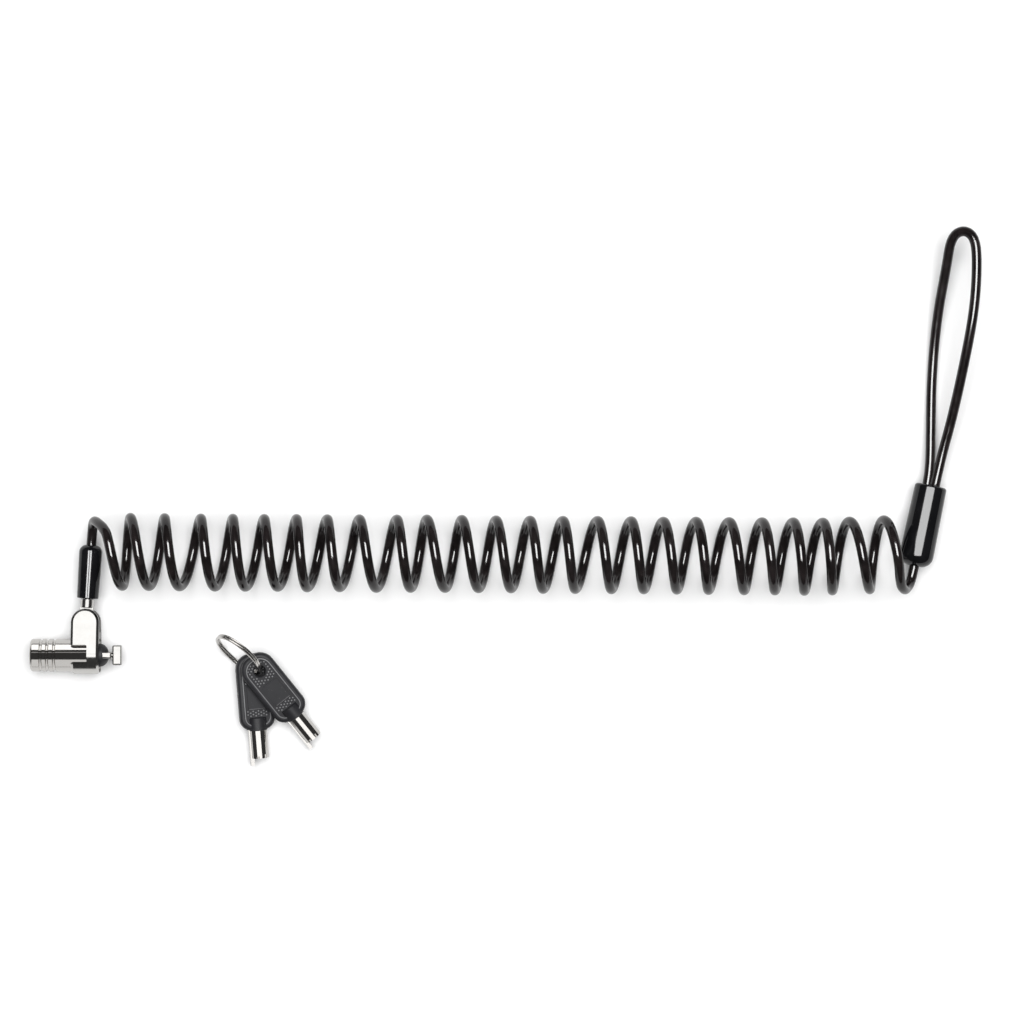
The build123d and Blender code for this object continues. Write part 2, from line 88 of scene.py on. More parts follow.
# leaves the piece in edit mode with only the chosen verts, edges or faces selected
def pick(piece, kind, test):
    makeActive(piece)
    bpy.ops.object.mode_set(mode="EDIT")
    bpy.ops.mesh.select_all(action="DESELECT")
    bpy.context.tool_settings.mesh_select_mode = (kind == "verts", kind == "edges", kind == "faces")
    mesh = bmesh.from_edit_mesh(piece.data)
    mesh.select_mode = {kind[:-1].upper()}
    for element in getattr(mesh, kind):
        element.select_set(test(element))
    mesh.select_flush_mode()
    bmesh.update_edit_mesh(piece.data)


def bevelEdges(piece, test, offset, segments=1):
    pick(piece, "edges", test)
    bpy.ops.mesh.bevel(offset=offset, segments=segments, affect="EDGES", clamp_overlap=False)
    bpy.ops.object.mode_set(mode="OBJECT")


def cutBy(piece, cutter, operation="DIFFERENCE"):
    modifier = piece.modifiers.new("cut", "BOOLEAN")
    modifier.object = cutter
    modifier.operation = operation
    modifier.solver = "EXACT"
    makeActive(piece)
    bpy.ops.object.modifier_apply(modifier=modifier.name)
    bpy.data.objects.remove(cutter)


# brings a piece made in its own frame, in millimetres, to its place in the model
def settle(piece, name, place, smoothAngle=32):
    piece.name = piece.data.name = name
    piece.data.transform(Matrix.Scale(mm, 4) @ place)
    makeActive(piece)
    bpy.ops.object.shade_smooth_by_angle(angle=math.radians(smoothAngle))
    deselectAll()
    return piece


def alongX(e):
    return abs((e.verts[0].co - e.verts[1].co).normalized().x) > 0.99


def upEdge(e):
    return abs((e.verts[0].co - e.verts[1].co).normalized().z) > 0.99


def onEnd(e, x):
    return all(abs(v.co.x - x) < 1e-3 for v in e.verts)


# places of the sub-assemblies, millimetres
lockPlace = Matrix.Translation((-122.7, -9.2, 5.72))
neckPlace = Matrix.Translation((-122.7, 0.75, 5.72)) @ Matrix.Rotation(math.radians(86.2), 4, "Z")


def axesPlace(origin, along, up):
    along, up = Vector(along).normalized(), Vector(up).normalized()
    turn = Matrix((along, up.cross(along), up)).transposed().to_4x4()
    return Matrix.Translation(origin) @ turn


def keyPlace(origin, turn, dip, roll):
    return (Matrix.Translation(origin) @ Matrix.Rotation(math.radians(turn), 4, "Z")
            @ Matrix.Rotation(math.radians(dip), 4, "Y") @ Matrix.Rotation(math.radians(-roll), 4, "X"))


cameraSet = {"x": 7.0, "y": 34.4, "height": 1180.0, "lens": 135.57, "sensor": 36}
cameraData = bpy.data.cameras.new("camera")
cameraData.lens = cameraSet["lens"]
cameraData.sensor_width = cameraSet["sensor"]
cameraData.clip_start = 0.01
cameraData.clip_end = 30
camera = bpy.data.objects.new("camera", cameraData)
camera.location = atMm(cameraSet["x"], cameraSet["y"], cameraSet["height"])
bpy.context.scene.collection.objects.link(camera)
bpy.context.scene.camera = camera
print("camera placed")


cable = {
    "radius": 1.5,
    "sides": 24,
    "coilRadius": 10.4,
    "unevenness": 0.08,
    "pointsPerHalf": 7,
    "pull": 0.979,          # how far the smooth line cuts inside its points
    "axisZ": 12.03,
    "length": 1.82,
    # places along X where the coil passes its +Y side and its -Y side, turn by turn
    "upper": [-118.1, -108.6, -98.2, -87.2, -77.5, -68.0, -58.2, -48.9, -39.2, -27.8, -18.8, -8.2, 2.2, 12.5, 22.5,
              33.0, 43.1, 52.9, 62.8, 72.8, 82.8, 92.2, 101.2, 109.2, 119.6],
    "lower": [-110.9, -102.9, -93.7, -83.0, -73.8, -64.0, -55.1, -45.2, -34.1, -23.7, -13.2, -3.1, 6.7, 16.4, 26.1,
              37.1, 46.9, 56.9, 66.5, 77.3, 86.6, 95.5, 104.0, 115.4, 125.9],
    "bulge": {0: 1.1, 1: -0.9, 2: 0.45, 3: -0.3},     # the first turns lean more than the rest
    "lead": [(-121.33, 21.35, 5.72), (-120.75, 28.9, 5.75), (-120.1, 31.8, 8.9), (-118.3, 31.3, 14.6)],
    "tail": [(124.2, 12.4, 17.0), (125.7, 10.9, 12.6), (126.7, 10.9, 9.0), (128.5, 13.0, 5.3), (130.15, 20.89, 5.27)],
    "through": [(131.3, 27.5, 5.2), (132.2, 34.0, 4.6)],
    "loop": [(133.03, 39.75, 4.18), (134.58, 47.95, 4.12), (134.9, 60.5, 2.2), (135.3, 77.0, 1.21),
             (136.7, 94.3, 3.8), (139.15, 108.85, 6.9), (140.3, 117.9, 9.2), (144.0, 120.1, 11.6),
             (147.3, 117.2, 13.4), (147.6, 108.2, 14.6), (146.65, 94.8, 15.0), (143.65, 77.45, 11.7),
             (140.45, 61.9, 8.6), (137.2, 49.6, 6.6), (135.09, 39.31, 6.36)],
}


def coilAxisY(x):
    if x < 0:
        return 21.6 - 0.75 * x / 119
    if x < 100:
        return 21.6 - 0.75 * x / 100
    return 20.85 + 0.85 * (x - 100) / 25


def coilPoints():
    stops = []
    for high, low in zip(cable["upper"], cable["lower"]):
        stops += [high, low]
    points = []
    count = cable["pointsPerHalf"]
    for i in range(len(stops) - 1):
        radius = (cable["coilRadius"] + random.uniform(-1, 1) * cable["unevenness"]) / cable["pull"]
        for step in range(count):
            part = step / count
            turn = math.pi * (i + part)
            if turn < math.radians(40) or turn > math.pi * (len(stops) - 1) - math.radians(52):
                continue
            x = stops[i] + (stops[i + 1] - stops[i]) * part + cable["bulge"].get(i, 0) * math.sin(math.pi * part)
            points.append((x, coilAxisY(x) + radius * math.cos(turn), cable["axisZ"] + radius * math.sin(turn)))
    return points


def cordLine(name, points, resolution):
    curve = bpy.data.curves.new(name, "CURVE")
    curve.dimensions = "3D"
    curve.resolution_u = resolution
    spline = curve.splines.new("NURBS")
    spline.points.add(len(points) - 1)
    for point, place in zip(spline.points, points):
        point.co = (*atMm(*place), 1.0)
    spline.order_u = 3
    spline.use_endpoint_u = True
    line = bpy.data.objects.new(name, curve)
    bpy.context.scene.collection.objects.link(line)
    bpy.context.view_layer.update()
    mesh = bpy.data.meshes.new_from_object(line.evaluated_get(bpy.context.evaluated_depsgraph_get()))
    path = [v.co.copy() for v in mesh.vertices]
    bpy.data.meshes.remove(mesh)
    bpy.data.objects.remove(line)
    bpy.data.curves.remove(curve)
    return path


# round tube along a line, with turns round it and millimetres along it as its UV
def tubeAlong(name, path, radius, sides):
    verts, faces, runs = [], [], [0.0]
    count = len(path)
    normal = None
    for i, place in enumerate(path):
        along = (path[min(i + 1, count - 1)] - path[max(i - 1, 0)]).normalized()
        if normal is None:
            normal = along.cross(Vector((0, 0, 1))).normalized()
        normal = (normal - along * normal.dot(along)).normalized()
        side = along.cross(normal)
        for k in range(sides):
            turn = 2 * math.pi * k / sides
            verts.append(place + radius * (math.cos(turn) * normal + math.sin(turn) * side))
        if i:
            runs.append(runs[-1] + (place - path[i - 1]).length)
    for i in range(count - 1):
        for k in range(sides):
            a, b = i * sides + k, i * sides + (k + 1) % sides
            faces.append((a, b, b + sides, a + sides))
    faces.append(tuple(reversed(range(sides))))
    faces.append(tuple((count - 1) * sides + k for k in range(sides)))
    mesh = bpy.data.meshes.new(name)
    mesh.from_pydata([tuple(v) for v in verts], [], faces)
    mesh.update()
    piece = bpy.data.objects.new(name, mesh)
    bpy.context.scene.collection.objects.link(piece)
    layer = mesh.uv_layers.new(name="UVMap")
    for poly in mesh.polygons:
        poly.use_smooth = True
        if poly.loop_total != 4:
            continue
        ks = [v % sides for v in poly.vertices]
        wraps = 0 in ks and sides - 1 in ks
        for loop, vert, k in zip(poly.loop_indices, poly.vertices, ks):
            layer.data[loop].uv = (1.0 if wraps and k == 0 else k / sides, runs[vert // sides] / mm)
    return piece


loopSleeve = {"low": (129.53, 17.95, 5.27), "high": (134.68, 42.47, 5.27), "lowRadius": 5.25, "highRadius": 4.85,
              "lowRound": 3.6, "highRound": 0.8, "hole": 1.6, "holeDepth": 3.0, "strandOffset": 1.52,
              "strandTurn": -46.0}
sleeveAlong = Vector(loopSleeve["high"]) - Vector(loopSleeve["low"])
sleeveLength = sleeveAlong.length
sleevePiece = addRod(0, sleeveLength, loopSleeve["lowRadius"], loopSleeve["highRadius"], sides=96)
bevelEdges(sleevePiece, lambda e: onEnd(e, 0), loopSleeve["lowRound"], 14)
bevelEdges(sleevePiece, lambda e: onEnd(e, sleeveLength), loopSleeve["highRound"], 6)
cutBy(sleevePiece, addRod(-1, loopSleeve["holeDepth"], loopSleeve["hole"], sides=48))
for side in (-1, 1):
    hole = addRod(sleeveLength - loopSleeve["holeDepth"], sleeveLength + 1, loopSleeve["hole"], sides=48,
                  at=(side * loopSleeve["strandOffset"], 0))
    hole.data.transform(Matrix.Rotation(math.radians(loopSleeve["strandTurn"]), 4, "X"))
    cutBy(sleevePiece, hole)
settle(sleevePiece, "loopSleeve", axesPlace(loopSleeve["low"], sleeveAlong, (0, 0, 1)))
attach(sleevePiece, "cable")
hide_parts("loop_sleeve")

cablePath = cordLine("cableLine", cable["lead"] + coilPoints() + cable["tail"] + cable["through"] + cable["loop"], 5)
cablePiece = tubeAlong("cableJacket", cablePath, cable["radius"] * mm, cable["sides"])
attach(cablePiece, "cable")
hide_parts("cable_lead", "cable_coil", "cable_tail", "cable_loop")
print("cable laid, length", round(sum((b - a).length for a, b in zip(cablePath, cablePath[1:])), 4))


lockSleeve = {"start": 7.39, "end": 23.65, "neckRadius": 3.25, "cableRadius": 3.55, "shoulder": 2.3, "rim": 0.25,
              "cableHole": 1.6, "cableHoleDepth": 3.0, "ferruleHole": 2.65, "ferruleEnd": 19.5}
lockSleevePiece = addRod(lockSleeve["start"], lockSleeve["end"], lockSleeve["neckRadius"], lockSleeve["cableRadius"],
                         sides=96)
bevelEdges(lockSleevePiece, lambda e: onEnd(e, lockSleeve["end"]), lockSleeve["shoulder"], 10)
bevelEdges(lockSleevePiece, lambda e: onEnd(e, lockSleeve["start"]), lockSleeve["rim"], 3)
cutBy(lockSleevePiece, addRod(lockSleeve["end"] - lockSleeve["cableHoleDepth"], lockSleeve["end"] + 1,
                              lockSleeve["cableHole"], sides=48))
cutBy(lockSleevePiece, addRod(lockSleeve["start"] - 1, lockSleeve["ferruleEnd"], lockSleeve["ferruleHole"]))
settle(lockSleevePiece, "lockSleeve", neckPlace)
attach(lockSleevePiece, "cable")
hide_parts("lock_end_sleeve")
print("sleeves made")


arm = {
    "half": 4.22, "near": -0.2, "far": 14.22,
    "nearHalf": 5.345, "farHalf": 2.712,        # half the plate's height at its two ends, below the raised face
    "endRound": 4.15, "border": 0.72, "rise": 0.48,
    "ringRadius": 5.22, "bore": 5.05, "slack": 0.01,
    "notch": (0.7, -2.4, 3.3), "notchRound": 0.45,      # right edge, lower edge, upper edge
    "clevisStart": 6.95, "clevisHalf": 1.4,
    "pinAt": 9.95, "pinRadius": 1.2, "pinTop": 2.5,
    "darkPaintFrom": 6,
}
cutReach = 9        # cutters stick out this far past the lock


# insets the chosen faces and lifts them, which leaves a sloping border
def raiseFaces(piece, test, border, rise):
    pick(piece, "faces", test)
    bpy.ops.mesh.inset(thickness=border, depth=rise, use_individual=True)
    bpy.ops.object.mode_set(mode="OBJECT")


def cutNotch(piece, slack):
    right, low, high = arm["notch"]
    cutter = addBlock((-cutReach, low - slack, -cutReach), (right + slack, high + slack, cutReach))
    bevelEdges(cutter, lambda e: onEnd(e, right + slack) and upEdge(e), arm["notchRound"], 5)
    cutBy(piece, cutter)
    cutBy(piece, addRod(-cutReach, cutReach, arm["bore"] + slack, sides=128))


# a tapered plate with the clevis, and the ring that turns on the barrel
def makeArm():
    half, far, border, slack = arm["half"], arm["far"], arm["border"], arm["slack"]
    plate = addBlock((-half, arm["near"], -arm["nearHalf"]), (half, far, arm["nearHalf"]))
    pick(plate, "verts", lambda v: v.co.y > far - 0.01)
    bpy.ops.transform.resize(value=(1, 1, arm["farHalf"] / arm["nearHalf"]), center_override=(0, 0, 0))
    bevelEdges(plate, lambda e: upEdge(e) and e.verts[0].co.y > far - 0.01, arm["endRound"], 16)
    raiseFaces(plate, lambda f: abs(f.normal.z) > 0.9, border, arm["rise"])
    cutNotch(plate, slack)
    cutBy(plate, addBlock((-cutReach, arm["clevisStart"], -arm["clevisHalf"]),
                          (cutReach, far + 1, arm["clevisHalf"])))
    cutBy(plate, addRod(-cutReach, arm["pinTop"], arm["pinRadius"], upright=True, at=(0, arm["pinAt"])))
    collar = addRod(border - half + slack, half - border - slack, arm["ringRadius"] + arm["rise"], sides=128)
    raiseFaces(collar, lambda f: abs(f.normal.x) > 0.9, arm["rise"], border)
    cutNotch(collar, 0)
    makeActive(plate)
    collar.select_set(True)
    bpy.ops.object.join()
    darkSidePaint = plate.data.attributes.new("paintedReflection", "FLOAT", "FACE")      # painted dark reflection: the sides and round end get a darker colour in place of the dark surroundings they mirror, and are a little rougher
    for face in plate.data.polygons:
        roundEnd = face.center.y > arm["darkPaintFrom"] and abs(face.normal.z) < 0.3
        darkSidePaint.data[face.index].value = 1.0 if abs(face.normal.x) > 0.95 or roundEnd else 0.0
    return plate


armPiece = settle(makeArm(), "lockArm", lockPlace, 25)
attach(armPiece, "arm")
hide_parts("swivel_arm")
print("arm made,", len(armPiece.data.polygons), "faces")


guide = {"start": 1.2, "end": 7.9, "halfWide": 0.95, "reach": (1.25, 3.2), "edge": 0.25, "nose": 0.35}


def makeGuidePin():
    low, high = guide["reach"]
    pin = addBlock((guide["start"], -guide["halfWide"], low), (guide["end"], guide["halfWide"], high))
    bevelEdges(pin, lambda e: onEnd(e, guide["end"]), guide["nose"], 4)
    bevelEdges(pin, alongX, guide["edge"], 3)
    return pin


pinPiece = makeGuidePin()
lowerPin = pinPiece.copy()
lowerPin.data = pinPiece.data.copy()
lowerPin.data.transform(Matrix.Rotation(math.pi, 4, "X"))
bpy.context.scene.collection.objects.link(lowerPin)
makeActive(pinPiece)
lowerPin.select_set(True)
bpy.ops.object.join()
settle(pinPiece, "guidePinPair", lockPlace, 40)
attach(pinPiece, "lock")
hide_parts("guide_pins")
print("guide pins made")


ring = {"centre": (-76.06, -8.81, 8.25), "across": (0.7756, -0.6313, 0.0), "up": (0.2211, 0.2716, 0.9367),
        "radius": 8.0, "wireWide": 0.78, "wireThick": 0.70, "wireRound": 0.2, "layer": 0.38, "bridgeAt": -16.0,
        "bridgeHalf": 12.0, "endGap": 14.0, "stepsPerTurn": 120}


def makeRing():
    deselectAll()
    bpy.ops.mesh.primitive_plane_add(size=1, location=(ring["radius"], 0, 0), rotation=(math.pi / 2, 0, 0),
                                     scale=(1, 1, 1))
    wire = bpy.context.object
    wire.scale = (ring["wireWide"], ring["wireThick"], 1)
    applyPlace(wire)
    pick(wire, "verts", lambda v: True)
    bpy.ops.mesh.bevel(offset=ring["wireRound"], segments=4, affect="VERTICES")
    bpy.ops.object.mode_set(mode="OBJECT")
    count = len(wire.data.vertices)
    sweep = 720 - 2 * ring["endGap"]
    steps = int(ring["stepsPerTurn"] * sweep / 360)
    pick(wire, "faces", lambda f: True)
    bpy.ops.mesh.spin(steps=steps, angle=math.radians(sweep), center=(0, 0, 0), axis=(0, 0, 1))
    bpy.ops.object.mode_set(mode="OBJECT")
    for v in wire.data.vertices:
        turned = (v.index // count) * sweep / steps - (360 - ring["endGap"])     # degrees from the bridge
        part = min(max(turned / ring["bridgeHalf"], -1), 1)
        v.co.z += ring["layer"] * math.sin(part * math.pi / 2)
    pick(wire, "faces", lambda f: True)
    bpy.ops.mesh.normals_make_consistent(inside=False)
    bpy.ops.object.mode_set(mode="OBJECT")
    wire.data.transform(Matrix.Rotation(math.radians(ring["bridgeAt"] - 360 + ring["endGap"]), 4, "Z"))
    return wire


ringUp = Vector(ring["across"]).cross(Vector(ring["up"]))
ringPiece = settle(makeRing(), "splitRing", axesPlace(ring["centre"], ring["across"], ringUp), 40)
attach(ringPiece, "key_ring")
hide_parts("split_ring")
print("ring made")


key = {"back": -5.4, "end": 18.0, "halfWidth": 5.4, "halfThick": 1.7, "ringRound": 4.8, "tubeRound": 3.6,
       "fieldInset": 1.5, "fieldDepth": 0.55, "bandWide": 0.26, "bandRise": 0.03, "bandEdge": 0.03, "hole": 1.7,
       "holeBevel": 0.3, "padStart": 4.4, "padEnd": 11.6, "padHalf": 2.8, "padRise": 0.4, "padLine": 0.22,
       "collarStart": 14.1, "collarRadius": 2.9, "dotPitch": 0.95, "dotRadius": 0.34, "dotHeight": 0.22,
       "padClear": 0.45, "holeClear": 0.4, "collarClear": (0.4, 0.3), "bandClear": 0.48}
keyPlaces = {"A": keyPlace((-69.7, -13.85, 8.05), -52.0, 10.9, 0.0),
             "B": keyPlace((-71.9, -14.1, 4.25), -85.6, 3.0, 17.0)}


# stores the weight of a painted highlight or painted dark reflection on each vertex
def markPaintedReflection(piece, measure):
    layer = piece.data.attributes.new("paintedReflection", "FLOAT", "POINT")
    for v in piece.data.vertices:
        layer.data[v.index].value = measure(v.co)


# upright prism with the key head's outline, drawn in by an inset
def headPrism(inset, low, high):
    half = key["halfWidth"] - inset
    prism = addBlock((key["back"] + inset, -half, low), (key["end"] - inset, half, high))
    bevelEdges(prism, lambda e: upEdge(e) and e.verts[0].co.x < 0, key["ringRound"] - inset * 0.8, 14)
    bevelEdges(prism, lambda e: upEdge(e) and onEnd(e, key["end"] - inset) and abs(e.verts[0].co.y) > half - 0.01,
               key["tubeRound"] - inset * 0.8, 12)
    return prism


# thin raised band that runs round the sunken field, and a line at the tube end of the pad, on both faces
def makeBand():
    top = key["halfThick"] + key["bandRise"]
    band = headPrism(key["fieldInset"] - key["bandWide"] / 2, -top, top)
    bevelEdges(band, lambda e: all(abs(abs(v.co.z) - top) < 1e-4 for v in e.verts), key["bandEdge"], 2)
    cutBy(band, headPrism(key["fieldInset"] + key["bandWide"] / 2, -top - 1, top + 1))
    padTop = key["halfThick"] - key["fieldDepth"] + key["padRise"] + key["bandRise"]
    lineHalf = key["padHalf"] - 0.3
    line = addBlock((key["padEnd"] - key["padLine"], -lineHalf, -padTop), (key["padEnd"], lineHalf, padTop))
    bevelEdges(line, lambda e: not upEdge(e), key["bandEdge"], 2)
    makeActive(band)
    line.select_set(True)
    bpy.ops.object.join()
    # painted highlight: the band is lighter, most on its top faces, in place of the highlights on its glossy lip
    markPaintedReflection(band, lambda place: 0.9 if abs(place.z) > key["halfThick"] - 0.02 else 0.45)
    return band


def inOutline(x, y, inset):
    half = key["halfWidth"] - inset
    corner = max((key["ringRound"] if x < 6 else key["tubeRound"]) - inset, 0.3)
    dx = x - min(max(x, key["back"] + inset + corner), key["end"] - inset - corner)
    dy = abs(y) - min(abs(y), half - corner)
    return math.hypot(dx, dy) <= corner


# dots keep clear of the pad, the ring hole, the collar and the band
def hasDot(x, y):
    pad, collar = key["padClear"], key["collarClear"]
    onPad = key["padStart"] - pad < x < key["padEnd"] + pad and abs(y) < key["padHalf"] + pad
    onHole = math.hypot(x, y) <= key["hole"] + key["holeBevel"] + key["holeClear"]
    onCollar = x > key["collarStart"] - collar[0] and abs(y) < key["collarRadius"] + collar[1]
    return not (onPad or onHole or onCollar) and inOutline(x, y, key["fieldInset"] + key["bandClear"])


def makeDots():
    deselectAll()
    bpy.ops.mesh.primitive_uv_sphere_add(segments=8, ring_count=6, radius=1)
    dot = bpy.context.object
    dot.scale = (key["dotRadius"], key["dotRadius"], key["dotHeight"])
    applyPlace(dot)
    pick(dot, "faces", lambda f: f.calc_center_median().z < -0.6 * key["dotHeight"])
    bpy.ops.mesh.delete(type="FACE")
    pick(dot, "edges", lambda e: e.is_boundary)
    bpy.ops.mesh.edge_face_add()
    bpy.ops.object.mode_set(mode="OBJECT")
    level = key["halfThick"] - key["fieldDepth"]
    flips = [Matrix.Translation((0, 0, level)),
             Matrix.Translation((0, 0, -level)) @ Matrix.Rotation(math.pi, 4, "X")]
    dotCopies = []
    row = 0
    y = -key["halfWidth"]
    while y < key["halfWidth"]:
        x = key["back"] + (row % 2) * key["dotPitch"] / 2
        while x < key["end"]:
            if hasDot(x, y):
                for flip in flips:
                    mesh = dot.data.copy()
                    mesh.transform(Matrix.Translation((x, y, 0)) @ flip)
                    dotCopy = bpy.data.objects.new("dot", mesh)
                    bpy.context.scene.collection.objects.link(dotCopy)
                    dotCopies.append(dotCopy)
            x += key["dotPitch"]
        y += key["dotPitch"] * math.sqrt(3) / 2
        row += 1
    bpy.data.objects.remove(dot)
    makeActive(dotCopies[0])
    for dotCopy in dotCopies:
        dotCopy.select_set(True)
    bpy.ops.object.join()
    dots = bpy.context.object
    # painted highlight: each dot grows lighter towards its top, in place of the highlight the little bump catches
    markPaintedReflection(dots, lambda place: min(max((abs(place.z) - level) / key["dotHeight"], 0), 1))
    return dots


bandPieces, dotPieces = [], []
for letter, place in keyPlaces.items():
    band = settle(makeBand(), "key" + letter + "Band", place, 40)
    dots = settle(makeDots(), "key" + letter + "Dots", place, 60)
    for piece in (band, dots):
        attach(piece, "key_" + letter.lower())
    bandPieces.append(band)
    dotPieces.append(dots)
print("key details made,", len(dotPieces[0].data.polygons), "dot faces on each")


def addNode(tree, kind, **values):
    node = tree.nodes.new(kind)
    for name, value in values.items():
        if name in node.inputs:
            node.inputs[name].default_value = value
        else:
            setattr(node, name, value)
    return node


def doMath(tree, operation, *values, clamp=False):
    node = addNode(tree, "ShaderNodeMath", operation=operation, use_clamp=clamp)
    for socket, value in zip(node.inputs, values):
        if isinstance(value, (int, float)):
            socket.default_value = value
        else:
            tree.links.new(value, socket)
    return node.outputs[0]


def remap(tree, value, low, high, toLow=0.0, toHigh=1.0):
    node = addNode(tree, "ShaderNodeMapRange")
    tree.links.new(value, node.inputs["Value"])
    for name, number in (("From Min", low), ("From Max", high), ("To Min", toLow), ("To Max", toHigh)):
        node.inputs[name].default_value = number
    return node.outputs["Result"]


def mixColours(tree, first, second, factor):
    node = addNode(tree, "ShaderNodeMix", data_type="RGBA")
    for index, value in ((6, first), (7, second)):
        if isinstance(value, tuple):
            node.inputs[index].default_value = (*value, 1)
        else:
            tree.links.new(value, node.inputs[index])
    tree.links.new(factor, node.inputs[0])
    return node.outputs[2]


def newGroup(name, inputs, outputs):
    group = bpy.data.node_groups.new(name, "ShaderNodeTree")
    for label, kind, value in inputs:
        socket = group.interface.new_socket(name=label, in_out="INPUT", socket_type="NodeSocket" + kind)
        if value is not None:
            socket.default_value = value
    for label in outputs:
        group.interface.new_socket(name=label, in_out="OUTPUT", socket_type="NodeSocketFloat")
    return group, group.nodes.new("NodeGroupInput"), group.nodes.new("NodeGroupOutput")


# slow changes of tone, and the fine grain of a moulded or cast surface
surfaceGrain, into, out = newGroup("surfaceGrain", [("Vector", "Vector", None), ("Grain Scale", "Float", 4000.0),
                                                    ("Tone Scale", "Float", 150.0)], ["Tone", "Height"])
toneNoise = addNode(surfaceGrain, "ShaderNodeTexNoise", Detail=4.0, Roughness=0.6)
grainNoise = addNode(surfaceGrain, "ShaderNodeTexNoise", Detail=3.0, Roughness=0.55)
for noise, scale in ((toneNoise, "Tone Scale"), (grainNoise, "Grain Scale")):
    surfaceGrain.links.new(into.outputs["Vector"], noise.inputs["Vector"])
    surfaceGrain.links.new(into.outputs[scale], noise.inputs["Scale"])
surfaceGrain.links.new(remap(surfaceGrain, toneNoise.outputs["Fac"], 0.32, 0.68), out.inputs["Tone"])
surfaceGrain.links.new(grainNoise.outputs["Fac"], out.inputs["Height"])

# hairlines: thin noise stretched by the vector that comes in, kept only where a slow noise allows it
hairlines, into, out = newGroup("hairlines", [("Vector", "Vector", None), ("Stretch", "Vector", (1.0, 20.0, 20.0)),
                                              ("Amount", "Float", 0.5)], ["Mask", "Height"])
stretched = addNode(hairlines, "ShaderNodeVectorMath", operation="MULTIPLY")
hairlines.links.new(into.outputs["Vector"], stretched.inputs[0])
hairlines.links.new(into.outputs["Stretch"], stretched.inputs[1])
lineNoise = addNode(hairlines, "ShaderNodeTexNoise", Scale=260.0, Detail=5.0, Roughness=0.7)
patchNoise = addNode(hairlines, "ShaderNodeTexNoise", Scale=210.0, Detail=2.0)
hairlines.links.new(stretched.outputs[0], lineNoise.inputs["Vector"])
hairlines.links.new(into.outputs["Vector"], patchNoise.inputs["Vector"])
lines = remap(hairlines, lineNoise.outputs["Fac"], 0.56, 0.66)
patches = remap(hairlines, patchNoise.outputs["Fac"], 0.40, 0.62)
kept = doMath(hairlines, "MULTIPLY", doMath(hairlines, "MULTIPLY", lines, patches), into.outputs["Amount"])
hairlines.links.new(kept, out.inputs["Mask"])
hairlines.links.new(doMath(hairlines, "SUBTRACT", lineNoise.outputs["Fac"], kept), out.inputs["Height"])

# small specks of dust, denser in some places
dustSpecks, into, out = newGroup("dustSpecks", [("Vector", "Vector", None), ("Scale", "Float", 900.0),
                                                ("Amount", "Float", 0.3)], ["Mask"])
cells = addNode(dustSpecks, "ShaderNodeTexVoronoi", feature="F1")
drift = addNode(dustSpecks, "ShaderNodeTexNoise", Scale=180.0, Detail=3.0)
for texture in (cells, drift):
    dustSpecks.links.new(into.outputs["Vector"], texture.inputs["Vector"])
dustSpecks.links.new(into.outputs["Scale"], cells.inputs["Scale"])
speck = remap(dustSpecks, cells.outputs["Distance"], 0.10, 0.20, 1.0, 0.0)
speck = doMath(dustSpecks, "MULTIPLY", speck, remap(dustSpecks, drift.outputs["Fac"], 0.52, 0.66))
dustSpecks.links.new(doMath(dustSpecks, "MULTIPLY", speck, into.outputs["Amount"]), out.inputs["Mask"])

# the lay of the wires, as it shows through a thin jacket: UV is turns round and millimetres along
strandTwist, into, out = newGroup("strandTwist", [("Vector", "Vector", None), ("Lines Per Turn", "Float", 14.0),
                                                  ("Pitch", "Float", 0.67)], ["Mask", "Height"])
parts = addNode(strandTwist, "ShaderNodeSeparateXYZ")
strandTwist.links.new(into.outputs["Vector"], parts.inputs[0])
around = doMath(strandTwist, "MULTIPLY", parts.outputs["X"], into.outputs["Lines Per Turn"])
along = doMath(strandTwist, "DIVIDE", parts.outputs["Y"], into.outputs["Pitch"])
phase = doMath(strandTwist, "MULTIPLY", doMath(strandTwist, "ADD", around, along), 2 * math.pi)
wave = doMath(strandTwist, "MULTIPLY_ADD", doMath(strandTwist, "SINE", phase), 0.5, 0.5)
strandTwist.links.new(remap(strandTwist, wave, 0.62, 1.0), out.inputs["Mask"])
strandTwist.links.new(wave, out.inputs["Height"])


def useGroup(tree, group, vector, **values):
    node = tree.nodes.new("ShaderNodeGroup")
    node.node_tree = group
    tree.links.new(vector, node.inputs["Vector"])
    for name, value in values.items():
        node.inputs[name.replace("_", " ")].default_value = value
    return node


